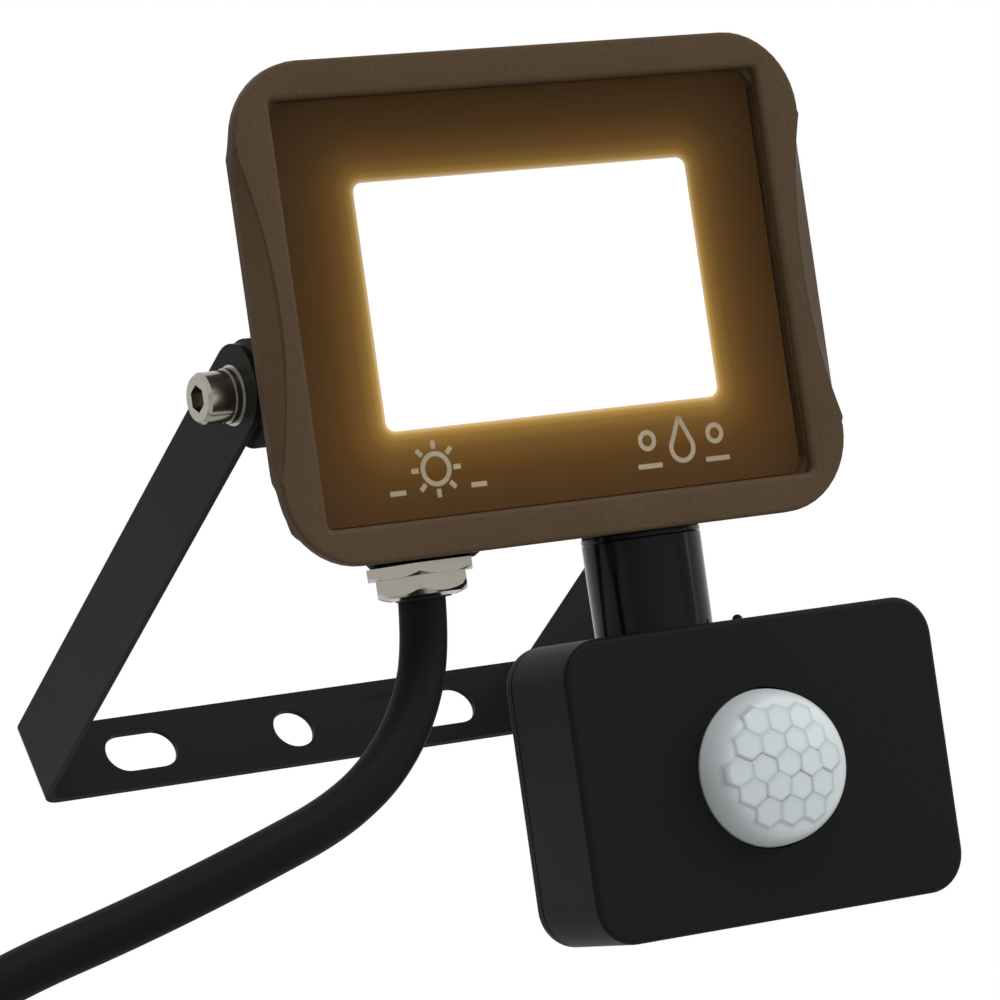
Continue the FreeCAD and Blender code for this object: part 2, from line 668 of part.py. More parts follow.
def sensor_board():
    y = SENSOR_BOARD_Y
    board = plate(66, 44, 2, y, y + 1.6)
    for x, z in corners_of(COVER_SCREW):
        board = board.cut(rod(3.5, (x, 10, z), (x, 20, z)))
        board = board.cut(block(*sorted((x, x * 1.2)), 10, 20, *sorted((z - 3.5, z + 3.5))))
        board = board.cut(block(x - 3.5, x + 3.5, 10, 20, *sorted((z, z * 1.2))))
    board = board.cut(block(NECK_IN_BOX[0] - 9, NECK_IN_BOX[0] + 9, 10, 20, 17.5, 30))
    for x, z in ((-28.0, 12.0), (28.5, 13.0), (28.5, -13.5)):
        board = board.cut(rod(1.2, (x, 10, z), (x, 20, z)))
    return tidy(board)


def sensor_board_screws():
    back = SENSOR_BOARD_Y + 1.6
    spots = ((-28.0, 12.0), (28.5, 13.0), (28.5, -13.5))
    return Part.makeCompound([pan_screw(x, z, back, 1.9, 1.3, 0.9, 7.5) for x, z in spots])


def pir_element():
    y = SENSOR_BOARD_Y
    can = rod(4.55, (0, y - 4.2, 0), (0, y, 0)).fuse(rod(4.95, (0, y - 0.7, 0), (0, y, 0)))
    return tidy(can.cut(block(-2.0, 2.0, y - 5, y - 3.8, -1.6, 1.6)))


def light_sensor():
    y = SENSOR_BOARD_Y
    return rod(2.5, (8.0, y - 2.0, -6.0), (8.0, y, -6.0))


def relay():
    y = SENSOR_BOARD_Y
    body = block(21.8, 32.0, y - 8.2, y, -9.0, 9.0)
    return body.makeChamfer(0.5, [e for e in body.Edges if all(abs(v.Point.y - y) > 1 for v in e.Vertexes)])


def capacitors():
    y = SENSOR_BOARD_Y
    film = block(-32.5, -22.5, y - 7.5, y, -10.0, 6.0)
    film = film.makeFillet(0.8, [e for e in film.Edges if all(abs(v.Point.y - y) > 1 for v in e.Vertexes)])
    can = rod(3.9, (17.5, y - 8.5, -17.0), (17.5, y, -17.0))
    return Part.makeCompound([film, can])


def trimmer_bodies():
    y = SENSOR_BOARD_Y
    parts = []
    for x in KNOB_X:
        body = block(x - 4.6, x + 4.6, y - 6.2, y, -18.8, -11.0)
        parts.append(body.cut(rod(1.86, (x, KNOB_Y, -19), (x, KNOB_Y, -13))))
    return Part.makeCompound(parts)


def knob(x):
    low = -SENSOR_H / 2.0 + 0.3
    body = rod(KNOB_R, (x, KNOB_Y, low), (x, KNOB_Y, -19.2))
    body = body.fuse(rod(1.8, (x, KNOB_Y, -19.2), (x, KNOB_Y, -13.6)))
    return tidy(body.cut(block(x - 2.4, x + 2.4, KNOB_Y - 0.5, KNOB_Y + 0.5, low - 1, low + 1.2)))


# ---- output ----
def export(name, shape):
    shape.exportStep("parts/%s.step" % name)
    print("%-22s solids %d valid %s volume %.0f" % (name, len(shape.Solids), shape.isValid(), shape.Volume))


def main():
    os.makedirs("parts", exist_ok=True)
    export("mounting_bracket", bracket())
    head = [
        ("front_frame", front_frame()),
        ("front_glass", front_glass()),
        ("glass_gasket", glass_gasket()),
        ("rear_housing", rear_housing()),
        ("reflector", reflector()),
        ("led_board", led_board()),
        ("thermal_pad", thermal_pad()),
        ("led_chips", led_chips()),
        ("driver_components", driver_components()),
        ("board_screws", board_screws()),
        ("frame_screws", frame_screws()),
        ("pivot_screw_left", pivot_screw(-1)),
        ("pivot_screw_right", pivot_screw(1)),
        ("flat_washer_left", flat_washer(-1)),
        ("flat_washer_right", flat_washer(1)),
        ("spring_washer_left", spring_washer(-1)),
        ("spring_washer_right", spring_washer(1)),
        ("gland_body", gland_body()),
        ("gland_nut", gland_nut()),
        ("gland_seal", gland_seal()),
        ("sensor_neck", sensor_neck()),
        ("neck_seal", neck_seal()),
        ("neck_clip", neck_clip()),
    ]
    for name, shape in head:
        export(name, from_head(shape))
    export("mains_cord", mains_cord())
    export("cord_cores", cord_cores())
    sensor = [
        ("sensor_front_cover", sensor_front_cover()),
        ("sensor_rear_cover", sensor_rear_cover()),
        ("cover_seal", cover_seal()),
        ("cover_screws", cover_screws()),
        ("fresnel_lens", lens()),
        ("lens_retainer", lens_retainer()),
        ("sensor_board", sensor_board()),
        ("sensor_board_screws", sensor_board_screws()),
        ("pir_element", pir_element()),
        ("light_sensor", light_sensor()),
        ("relay", relay()),
        ("capacitors", capacitors()),
        ("trimmer_bodies", trimmer_bodies()),
        ("sensitivity_knob", knob(KNOB_X[0])),
        ("time_knob", knob(KNOB_X[1])),
        ("lux_knob", knob(KNOB_X[2])),
    ]
    for name, shape in sensor:
        export(name, from_sensor(shape))


main()
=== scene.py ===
# %% [markdown]
# # A wall light with a movement sensor
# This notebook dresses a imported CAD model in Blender: a brown cast lamp head with a lit window, a black
# steel bracket, a nickel cable gland with its cord, and a sensor box on a turning neck. The CAD model is
# a fixed frame in metres, so each piece made here goes straight to the place that the CAD gives it.

# %% Load the frame
import json
import math
import bmesh
import bpy
import numpy as np
from mathutils import Matrix, Vector


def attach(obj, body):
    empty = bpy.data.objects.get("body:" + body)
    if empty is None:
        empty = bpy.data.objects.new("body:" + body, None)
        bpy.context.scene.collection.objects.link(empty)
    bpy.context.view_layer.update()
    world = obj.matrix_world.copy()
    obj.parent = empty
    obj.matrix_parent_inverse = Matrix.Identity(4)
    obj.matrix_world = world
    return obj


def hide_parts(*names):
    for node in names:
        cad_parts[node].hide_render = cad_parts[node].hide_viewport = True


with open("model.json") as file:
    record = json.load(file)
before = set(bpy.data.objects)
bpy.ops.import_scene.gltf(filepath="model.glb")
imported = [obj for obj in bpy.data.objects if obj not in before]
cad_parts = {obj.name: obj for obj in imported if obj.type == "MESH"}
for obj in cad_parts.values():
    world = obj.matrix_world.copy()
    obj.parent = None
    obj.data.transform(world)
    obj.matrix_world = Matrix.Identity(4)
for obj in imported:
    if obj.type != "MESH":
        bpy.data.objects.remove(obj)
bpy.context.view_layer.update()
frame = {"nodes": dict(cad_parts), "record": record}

nodes = frame["nodes"]
MM = 0.001

# %% [markdown]
# ## The frames of the lamp head and of the sensor box
# The head leans 30 degrees down on its two pivot screws, and the sensor box is turned a little on its
# neck. Shapes on them are simplest in their own frames, with the front in the plane y = 0, so two helpers
# carry arrays of points over to the common frame. Turning whole arrays with one matrix product is quick
# and keeps every object at the origin.

# %% Carry points from the head and from the sensor box
TILT = math.radians(30.0)
PAN = math.radians(-2.4)
PIVOT = np.array([0.0, 14.0, -10.7])
REACH = 111.5
PIVOT_PLACE = [0.0, -REACH, 0.0]
TILT_TURN = np.array([[1, 0, 0], [0, math.cos(TILT), -math.sin(TILT)], [0, math.sin(TILT), math.cos(TILT)]])
PAN_TURN = np.array([[math.cos(PAN), -math.sin(PAN), 0], [math.sin(PAN), math.cos(PAN), 0], [0, 0, 1]])
NECK = np.array([21.3, 16.5])
BOX_Z = -83.57
NECK_IN_BOX = np.array([-12.0, 11.0, 0.0])
BOX_MIDDLE = np.append(NECK, BOX_Z) - PAN_TURN @ NECK_IN_BOX


def from_head(points):
    """Head frame in mm to the common frame in m: turn about the pivot, then set the pivot off the wall."""
    return ((np.asarray(points, float) - PIVOT) @ TILT_TURN.T + PIVOT_PLACE) * MM


def from_box(points):
    """Sensor frame in mm to the common frame in m: turn about the neck, shift, then as the head."""
    return from_head(np.asarray(points, float) @ PAN_TURN.T + BOX_MIDDLE)


print("window centre", from_head([[0, 3.9, 0.4]]).round(4), "lens", from_box([[0, 0, 0]]).round(4))

# %% [markdown]
# ## Camera
# The photograph was taken from below and to the left with a long lens. The camera's place, turn and lens
# were fitted to measured edges of the lamp, so the three axes are written down as they came out of that
# fit.

# %% Camera
RIGHT = Vector((0.851063, -0.367204, -0.375304))
FORWARD = Vector((0.514848, 0.723924, 0.459201))
UP = RIGHT.cross(FORWARD)
CAMERA_PLACE = (-0.431924, -0.698281, -0.398324)
camera_data = bpy.data.cameras.new("camera")
camera_data.lens = 178.2
camera_data.sensor_width = 36.0
camera_data.clip_start = 0.05
camera_data.clip_end = 20.0
camera = bpy.data.objects.new("camera", camera_data)
turn = Matrix((RIGHT, UP, -FORWARD)).transposed()
camera.matrix_world = Matrix.Translation(CAMERA_PLACE) @ turn.to_4x4()
bpy.context.scene.collection.objects.link(camera)
bpy.context.scene.camera = camera
print("camera at", [round(v, 3) for v in camera.location], "lens", camera_data.lens)

# %% [markdown]
# ## Helpers for meshes
# Every new piece is a surface worked out with numpy: a grid of points that two parameters give. One
# helper turns such a grid into faces, joined at the seam where the grid closes on itself, and another
# makes the mesh object.

# %% Grid to mesh
def grid_faces(rows, cols, wrap_rows=False, wrap_cols=False, start=0):
    """Quads of a rows by cols grid: corner (i, j) meets (i, j+1), (i+1, j+1) and (i+1, j)."""
    i = np.arange(rows if wrap_rows else rows - 1)[:, None]
    j = np.arange(cols if wrap_cols else cols - 1)[None, :]
    a = i * cols + j
    b = i * cols + (j + 1) % cols
    c = ((i + 1) % rows) * cols + (j + 1) % cols
    d = ((i + 1) % rows) * cols + j
    return np.stack([a, b, c, d], -1).reshape(-1, 4) + start


def new_mesh(name, points, faces, smooth=True):
    """One mesh object from points in metres and faces of four corners."""
    mesh = bpy.data.meshes.new(name)
    points = np.asarray(points, np.float32).reshape(-1, 3)
    faces = np.asarray(faces, np.int32)
    size = faces.shape[1]
    mesh.vertices.add(len(points))
    mesh.vertices.foreach_set("co", points.ravel())
    mesh.loops.add(faces.size)
    mesh.loops.foreach_set("vertex_index", faces.ravel())
    mesh.polygons.add(len(faces))
    mesh.polygons.foreach_set("loop_start", np.arange(0, faces.size, size, dtype=np.int32))
    mesh.polygons.foreach_set("use_smooth", np.full(len(faces), smooth))
    mesh.update(calc_edges=True)
    mesh.validate()
    thing = bpy.data.objects.new(name, mesh)
    bpy.context.scene.collection.objects.link(thing)
    return thing


# %% [markdown]
# ## Finishes
# Each finish is a Principled shader with colour, roughness and a little relief from noise. What several
# finishes share is a shader group: a fine grain that gives a value for colour, one for roughness and a
# height for a bump.

# %% Shader helpers
def group(name, inputs, outputs):
    """Empty shader group with named sockets: inputs have a default value or are vectors."""
    tree = bpy.data.node_groups.new(name, "ShaderNodeTree")
    for socket, value in inputs:
        kind = "NodeSocketVector" if value == "vector" else "NodeSocketFloat"
        made = tree.interface.new_socket(socket, in_out="INPUT", socket_type=kind)
        if value != "vector":
            made.default_value = value
    for socket, kind in outputs:
        tree.interface.new_socket(socket, in_out="OUTPUT", socket_type="NodeSocket" + kind)
    return tree, tree.nodes.new("NodeGroupInput"), tree.nodes.new("NodeGroupOutput")


def node(tree, kind, links=None, **settings):
    """Adds a node, sets its properties and input values, and links sockets to its inputs."""
    made = tree.nodes.new("ShaderNode" + kind)
    for key, value in settings.items():
        if hasattr(made, key):
            setattr(made, key, value)
    for key, value in (links or {}).items():
        if isinstance(value, bpy.types.NodeSocket):
            tree.links.new(value, made.inputs[key])
        else:
            made.inputs[key].default_value = value
    return made


def math_node(tree, operation, a, b=0.0, c=0.0, clamp=False):
    """Adds a Math node on values or sockets and returns its result."""
    made = tree.nodes.new("ShaderNodeMath")
    made.operation = operation
    made.use_clamp = clamp
    for i, value in enumerate((a, b, c)):
        if isinstance(value, bpy.types.NodeSocket):
            tree.links.new(value, made.inputs[i])
        else:
            made.inputs[i].default_value = value
    return made.outputs[0]


# %% Grain group
BLOTCH_SIZE = 60.0
grain_tree, grain_in, grain_out = group(
    "fine_grain",
    [("Place", "vector"), ("Size", 900.0), ("Blotch Size", BLOTCH_SIZE), ("Sharpness", 0.5)],
    [("Grain", "Float"), ("Blotch", "Float"), ("Height", "Float")],
)
grain_place, grain_size, blotch_size, sharpness = [grain_in.outputs[i] for i in range(4)]
at_grain = {"Vector": grain_place, "Scale": grain_size}
at_blotch = {"Vector": grain_place, "Scale": blotch_size}
fine = node(grain_tree, "TexNoise", {**at_grain, "Detail": 3.0, "Roughness": 0.6})
cells = node(grain_tree, "TexVoronoi", at_grain, feature="SMOOTH_F1")
broad = node(grain_tree, "TexNoise", {**at_blotch, "Detail": 2.0})
heights = {0: sharpness, 2: fine.outputs[0], 3: cells.outputs["Distance"]}
mixed = node(grain_tree, "Mix", heights, data_type="FLOAT")
grain_tree.links.new(fine.outputs[0], grain_out.inputs["Grain"])
grain_tree.links.new(broad.outputs[0], grain_out.inputs["Blotch"])
grain_tree.links.new(mixed.outputs[0], grain_out.inputs["Height"])
print("grain group with", len(grain_tree.nodes), "nodes")


# %% Make a finish
GRAIN_SHARE, BLOTCH_SHARE = 0.6, 0.4
ROUGH_VARY = 0.1
RELIEF_DEPTH = 0.0002


def finish(name, color, roughness, size=900.0, relief=0.02, vary=0.15, metallic=0.0, specular=0.5,
           sharpness=0.5):
    """Principled shader whose colour, roughness and bump follow the grain group."""
    material = bpy.data.materials.new(name)
    material.use_nodes = True
    tree = material.node_tree
    shader = tree.nodes["Principled BSDF"]
    place = node(tree, "TexCoord").outputs["Object"]
    grain = tree.nodes.new("ShaderNodeGroup")
    grain.node_tree = grain_tree
    tree.links.new(place, grain.inputs["Place"])
    grain.inputs["Size"].default_value = size
    grain.inputs["Blotch Size"].default_value = BLOTCH_SIZE
    grain.inputs["Sharpness"].default_value = sharpness
    dark = tuple(c * (1 - vary) for c in color) + (1.0,)
    light = tuple(min(1.0, c * (1 + vary)) for c in color) + (1.0,)
    blotches = math_node(tree, "MULTIPLY", grain.outputs["Blotch"], BLOTCH_SHARE)
    both = math_node(tree, "MULTIPLY_ADD", grain.outputs["Grain"], GRAIN_SHARE, blotches)
    tone = node(tree, "Mix", {0: both, 6: dark, 7: light}, data_type="RGBA")
    tree.links.new(tone.outputs[2], shader.inputs["Base Color"])
    smoothest = roughness - ROUGH_VARY * 0.5
    rough = math_node(tree, "MULTIPLY_ADD", grain.outputs["Blotch"], ROUGH_VARY, smoothest, clamp=True)
    tree.links.new(rough, shader.inputs["Roughness"])
    shader.inputs["Metallic"].default_value = metallic
    shader.inputs["Specular IOR Level"].default_value = specular
    height = grain.outputs["Height"]
    bump = node(tree, "Bump", {"Strength": relief, "Distance": RELIEF_DEPTH, "Height": height})
    tree.links.new(bump.outputs[0], shader.inputs["Normal"])
    return material


def clear_glass(name):
    """Clear pane: light goes straight through, and the surface hardly mirrors."""
    material = bpy.data.materials.new(name)
    material.use_nodes = True
    tree = material.node_tree
    shader = tree.nodes["Principled BSDF"]
    haze = node(tree, "TexNoise", {"Vector": node(tree, "TexCoord").outputs["Object"], "Scale": 40.0})
    rough = math_node(tree, "MULTIPLY_ADD", haze.outputs[0], 0.02, 0.0, clamp=True)
    tree.links.new(rough, shader.inputs["Roughness"])
    shader.inputs["Base Color"].default_value = (1, 1, 1, 1)
    shader.inputs["Metallic"].default_value = 0.0
    shader.inputs["Transmission Weight"].default_value = 1.0
    shader.inputs["IOR"].default_value = 1.08
    return material


BROWN_COAT = dict(color=(0.055, 0.0335, 0.0165), roughness=0.5, size=1500, relief=0.5, vary=0.25,
                  specular=0.1, sharpness=0.7)
finishes = {
    "bracket_black": finish("bracket_black", (0.0082, 0.0082, 0.0078), 0.45, size=700, relief=0.15,
                            specular=0.05),
    "frame_brown": finish("frame_brown", **BROWN_COAT),
    "housing_black": finish("housing_black", (0.005, 0.005, 0.005), 0.5, size=1500, relief=0.4,
                            specular=0.1),
    "seal_rubber": finish("seal_rubber", (0.012, 0.012, 0.012), 0.7, specular=0.2),
    "reflector_white": finish("reflector_white", (0.8, 0.79, 0.76), 0.6),
    "board_aluminium": finish("board_aluminium", (0.8, 0.8, 0.78), 0.5),
    "led_yellow": finish("led_yellow", (0.8, 0.6, 0.15), 0.3),
    "component_black": finish("component_black", (0.02, 0.02, 0.02), 0.5),
    "nickel": finish("nickel", (0.34, 0.32, 0.275), 0.2, metallic=1.0, size=400, relief=0.04, vary=0.08),
    "cord_rubber": finish("cord_rubber", (0.004, 0.004, 0.004), 0.6, specular=0.07, size=500, relief=0.1),
    "core_insulation": finish("core_insulation", (0.12, 0.05, 0.02), 0.45),
    "neck_gloss": finish("neck_gloss", (0.003, 0.003, 0.003), 0.14, specular=0.12, relief=0.02),
    "sensor_black": finish("sensor_black", (0.0058, 0.0058, 0.0058), 0.5, specular=0.065, relief=0.05),
    "lens_white": finish("lens_white", (0.55, 0.6, 0.62), 0.35),
    "board_green": finish("board_green", (0.02, 0.12, 0.05), 0.4),
    "knob_grey": finish("knob_grey", (0.08, 0.08, 0.08), 0.5),
    "glass": clear_glass("glass"),
}
for entry in frame["record"]["subparts"]:
    mesh = nodes[entry["node"]].data
    mesh.materials.clear()
    mesh.materials.append(finishes[entry["material_slot"]])
print(len(finishes), "finishes on", len(nodes), "nodes")

# %% [markdown]
# ## Supply cord
# A round rubber-sheathed cord comes straight out of the gland, bends to the left and leaves the view. It
# hangs down beside the bracket and ends bare. A NURBS spline with the route's points as its control
# points gives one smooth line, and the curve's own bevel gives the round section.

# %% Cord
CORD_ROUTE = [
    (-23.4, -97.9, -21.6), (-23.4, -89.4, -36.3), (-31.0, -84.9, -50.8), (-44.8, -81.6, -62.0),
    (-66.1, -77.2, -67.5), (-86.2, -71.5, -71.3), (-106.3, -65.2, -73.7), (-123.7, -59.4, -78.8),
    (-138.4, -54.1, -87.6), (-149.9, -49.3, -100.6), (-157.4, -45.4, -116.5), (-160.6, -42.6, -134.0),
    (-160.2, -40.9, -151.9), (-162.4, -38.3, -170.6), (-165.7, -35.1, -189.0), (-169.6, -33.3, -208.6),
    (-174.2, -31.2, -226.9),
]
CORD_R = 4.0
cord_curve = bpy.data.curves.new("supply_cord", "CURVE")
cord_curve.dimensions = "3D"
spline = cord_curve.splines.new("NURBS")
spline.points.add(len(CORD_ROUTE) - 1)
for point, place in zip(spline.points, CORD_ROUTE):
    point.co = (place[0] * MM, place[1] * MM, place[2] * MM, 1.0)
spline.order_u = 3
spline.use_endpoint_u = True
cord_curve.resolution_u = 12
cord_curve.bevel_depth = CORD_R * MM
cord_curve.bevel_resolution = 8
cord_curve.use_fill_caps = True
cord = bpy.data.objects.new("supply_cord", cord_curve)
bpy.context.scene.collection.objects.link(cord)
cord_curve.materials.append(finishes["cord_rubber"])
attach(cord, "head")
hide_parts("mains_cord")
print("cord through", len(CORD_ROUTE), "points")

# %% [markdown]
# ## Printed sheet and lit window
# The real glass is printed brown on its back, all but a window where the lamp's light comes through. The
# print is a little translucent, so it glows near the window and fades to dark brown in the corners. The
# sheet is a thin plate just inside the back of the glass, and its shader works out how far each point is
# from the window's rounded edge.

# %% Distance group and glow
WINDOW_HALF = (32.2, 20.25)
WINDOW_MIDDLE_Z = 0.4
WINDOW_CORNER = 1.5
PRINT_Y = 3.8
PRINT_T = 0.1
PER_METRE = 1000.0

window_tree, window_in, window_out = group(
    "window_distance",
    [("Place", "vector")],
    [("Distance", "Float"), ("Up", "Float")],
)
parts = node(window_tree, "SeparateXYZ", {0: window_in.outputs["Place"]})
across = math_node(window_tree, "ABSOLUTE", parts.outputs["X"])
from_middle = math_node(window_tree, "SUBTRACT", parts.outputs["Z"], WINDOW_MIDDLE_Z * MM)
upward = math_node(window_tree, "ABSOLUTE", from_middle)
past_x = math_node(window_tree, "SUBTRACT", across, (WINDOW_HALF[0] - WINDOW_CORNER) * MM)
past_z = math_node(window_tree, "SUBTRACT", upward, (WINDOW_HALF[1] - WINDOW_CORNER) * MM)
out_x = math_node(window_tree, "MAXIMUM", past_x, 0.0)
out_z = math_node(window_tree, "MAXIMUM", past_z, 0.0)
square_z = math_node(window_tree, "MULTIPLY", out_z, out_z)
squares = math_node(window_tree, "MULTIPLY_ADD", out_x, out_x, square_z)
outside = math_node(window_tree, "SQRT", squares)
inside = math_node(window_tree, "MINIMUM", math_node(window_tree, "MAXIMUM", past_x, past_z), 0.0)
to_corner = math_node(window_tree, "ADD", outside, inside)
distance = math_node(window_tree, "SUBTRACT", to_corner, WINDOW_CORNER * MM)
distance_mm = math_node(window_tree, "MULTIPLY", distance, PER_METRE)
height_mm = math_node(window_tree, "MULTIPLY", parts.outputs["Z"], PER_METRE)
window_tree.links.new(distance_mm, window_out.inputs["Distance"])
window_tree.links.new(height_mm, window_out.inputs["Up"])

# The print's own light at some distances in mm from the window's edge.
GLOW = [
    (0.0, (1.5, 1.5, 1.5)),
    (0.3, (0.62, 0.43, 0.22)),
    (1.0, (0.34, 0.20, 0.045)),
    (2.0, (0.215, 0.115, 0.024)),
    (4.0, (0.128, 0.064, 0.012)),
    (8.0, (0.074, 0.034, 0.006)),
    (12.0, (0.054, 0.025, 0.006)),
    (22.0, (0.030, 0.014, 0.005)),
]
GLOW_REACH = 24.0
WINDOW_POWER = 1.2
BRIGHTER_BELOW = -0.009
SPECKLE = 0.12
print_material = bpy.data.materials.new("glowing_print")
print_material.use_nodes = True
print_tree = print_material.node_tree
print_shader = print_tree.nodes["Principled BSDF"]
home = from_head([[0, 0, 0]])[0]
home_shift = -TILT_TURN.T @ home
head_place = node(print_tree, "Mapping", {
    "Vector": node(print_tree, "TexCoord").outputs["Object"],
    "Location": tuple(home_shift),
    "Rotation": (-TILT, 0.0, 0.0),
})
measure = print_tree.nodes.new("ShaderNodeGroup")
measure.node_tree = window_tree
print_tree.links.new(head_place.outputs[0], measure.inputs["Place"])
along_ramp = math_node(print_tree, "DIVIDE", measure.outputs["Distance"], GLOW_REACH)
ramp = node(print_tree, "ValToRGB", {0: along_ramp})
ramp.color_ramp.elements[0].position = 0.0
ramp.color_ramp.elements[0].color = GLOW[0][1] + (1,)
ramp.color_ramp.elements[1].position = GLOW[-1][0] / GLOW_REACH
ramp.color_ramp.elements[1].color = GLOW[-1][1] + (1,)
for reach, color in GLOW[1:-1]:
    stop = ramp.color_ramp.elements.new(reach / GLOW_REACH)
    stop.color = color + (1,)
speckle = node(print_tree, "TexNoise", {"Vector": head_place.outputs[0], "Scale": 2600.0, "Detail": 2.0})
lower = math_node(print_tree, "MULTIPLY_ADD", measure.outputs["Up"], BRIGHTER_BELOW, 1.0)
below_mean = math_node(print_tree, "SUBTRACT", lower, SPECKLE / 2)
gain = math_node(print_tree, "MULTIPLY_ADD", speckle.outputs[0], SPECKLE, below_mean)
print_tree.links.new(ramp.outputs[0], print_shader.inputs["Emission Color"])
in_window = math_node(print_tree, "LESS_THAN", measure.outputs["Distance"], 0.0)
power = node(print_tree, "Mix", {0: in_window, 2: gain, 3: WINDOW_POWER}, data_type="FLOAT")
print_tree.links.new(power.outputs[0], print_shader.inputs["Emission Strength"])
INK = (0.004, 0.002, 0.001, 1)
WINDOW_PALE = (0.5, 0.5, 0.5, 1)
base = node(print_tree, "Mix", {0: in_window, 6: INK, 7: WINDOW_PALE}, data_type="RGBA")
print_tree.links.new(base.outputs[2], print_shader.inputs["Base Color"])
print_shader.inputs["Roughness"].default_value = 0.6
print_shader.inputs["Specular IOR Level"].default_value = 0.05


def loop_points(width, height, radius, y, corner_steps=12, side_steps=40):
    """Closed rounded rectangle: quarter turns joined by even side points, the same count at any size."""
    a = width / 2 - radius
    b = height / 2 - radius
    rows = []
    for k, (sx, sz) in enumerate(((1, 1), (-1, 1), (-1, -1), (1, -1))):
        turn_by = np.linspace(0, 1, corner_steps) * math.pi / 2 + k * math.pi / 2
        rows.append(np.stack([sx * a + radius * np.cos(turn_by), sz * b + radius * np.sin(turn_by)], 1))
        nx, nz = ((-1, 1), (-1, -1), (1, -1), (1, 1))[k]
        start = rows[-1][-1]
        turn_next = (k + 1) * math.pi / 2
        end = np.array([nx * a + radius * math.cos(turn_next), nz * b + radius * math.sin(turn_next)])
        t = np.linspace(0, 1, side_steps + 2)[1:-1, None]
        rows.append(start + (end - start) * t)
    flat = np.concatenate(rows)
    return np.stack([flat[:, 0], np.full(len(flat), y), flat[:, 1]], 1)


SHARP_OVER = 32.0


def shell_of(name, rows, material, body="head", replaced=()):
    """Closed ring of matching loops in the head's frame: each row joins the next, the last the first."""
    points = np.concatenate(rows)
    faces = grid_faces(len(rows), len(rows[0]), wrap_rows=True, wrap_cols=True)
    thing = new_mesh(name, from_head(points), faces)
    thing.data.set_sharp_from_angle(angle=math.radians(SHARP_OVER))
    thing.data.materials.append(material)
    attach(thing, body)
    if replaced:
        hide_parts(*replaced)
    return thing


PANE = (94.2, 69.3, 0.8)
PANE_MIDDLE = (0.2, 0.2, 0.05)
sheet_rows = [
    loop_points(*PANE_MIDDLE, PRINT_Y),
    loop_points(*PANE, PRINT_Y),
    loop_points(*PANE, PRINT_Y + PRINT_T),
    loop_points(*PANE_MIDDLE, PRINT_Y + PRINT_T),
]
shell_of("printed_sheet", sheet_rows, print_material)
print("printed sheet of", len(sheet_rows), "loops, glow of", len(GLOW), "steps")

# %% [markdown]
# ## Front rim
# The cast rim is a flat rounded frame. Each side has a shallow scoop: a facet that starts at an arc on
# the front and falls 2 mm to the outer wall. The inner edge by the glass is rounded and catches the
# light. The rim is a stack of matching loops, from the glass seat round the front and the outside to the
# back, so each edge is a pair of rows.

# %% Rim
RIM_W, RIM_H, RIM_R = 109.8, 82.4, 13.6
RIM_EDGE = 0.6
SCOOP_MIDDLE_Z = 0.25
SCOOP_HALF = 26.75
CREASE_R = 91.4
CREASE_X = 51.0
SCOOP_FALL = 2.0
OPEN_W, OPEN_H, OPEN_R = 94.8, 69.9, 1.0
OPEN_ROUND = 0.9
SEAT_Y = 4.3
WALL_CORNER_Y = 2.1
WALL_SCOOP_MORE = 1.5
SCOOP_PAST, SCOOP_RAMP = 1.5, 2.0
CASTING = (97.4, 77.0, 12.0)
INNER = (92.0, 67.0, 4.0)
RIM_BACK_Y = 5.5
SIDE_BAND = 2.0


def rim_row(step):
    """Front edge of the rim at a step from 0 to 1: a quarter round, or on the sides the scoop's fall."""
    inset = RIM_EDGE * (1 - math.sin(step * math.pi / 2))
    drop = RIM_EDGE * (1 - math.cos(step * math.pi / 2))
    row = loop_points(RIM_W - 2 * inset, RIM_H - 2 * inset, RIM_R - inset, drop)
    outer = RIM_W / 2
    x, z = row[:, 0], row[:, 2]
    off = np.clip(np.abs(z - SCOOP_MIDDLE_Z), 0, SCOOP_HALF)
    crease = np.minimum(CREASE_X + CREASE_R - np.sqrt(CREASE_R ** 2 - off ** 2), outer - 0.05)
    scooped = (np.abs(z - SCOOP_MIDDLE_Z) < SCOOP_HALF) & (np.abs(x) > outer - SIDE_BAND)
    row[scooped, 0] = (np.sign(x) * (crease + (outer - crease) * step))[scooped]
    row[scooped, 1] = SCOOP_FALL * step
    return row


def rim_back(row):
    """Where the outer wall ends: 2.1 mm deep at the corners, 3.6 mm along the scoops."""
    z = np.abs(row[:, 2] - SCOOP_MIDDLE_Z)
    side = np.abs(row[:, 0]) > RIM_W / 2 - SIDE_BAND
    deep = np.clip((SCOOP_HALF + SCOOP_PAST - z) / SCOOP_RAMP, 0, 1) * side
    back = row.copy()
    back[:, 1] = WALL_CORNER_Y + WALL_SCOOP_MORE * deep
    return back


rim_rows = [loop_points(OPEN_W, OPEN_H, OPEN_R, depth) for depth in (SEAT_Y, OPEN_ROUND)]
for step in np.linspace(0, 1, 5):
    grow = OPEN_ROUND * (1 - math.cos(step * math.pi / 2))
    depth = OPEN_ROUND * (1 - math.sin(step * math.pi / 2))
    rim_rows.append(loop_points(OPEN_W + 2 * grow, OPEN_H + 2 * grow, OPEN_R + grow, depth))
rim_rows += [rim_row(step) for step in np.linspace(0, 1, 6)]
outer_back = rim_back(rim_rows[-1])
inner_back = loop_points(*CASTING, 0.0)
inner_back[:, 1] = outer_back[:, 1]
rim_rows += [outer_back, inner_back, loop_points(*CASTING, RIM_BACK_Y), loop_points(*INNER, RIM_BACK_Y)]
rim_material = finish("rim_brown", **BROWN_COAT)
rim_tree = rim_material.node_tree
rim_shader = rim_tree.nodes["Principled BSDF"]
plain_tone = rim_shader.inputs["Base Color"].links[0].from_socket
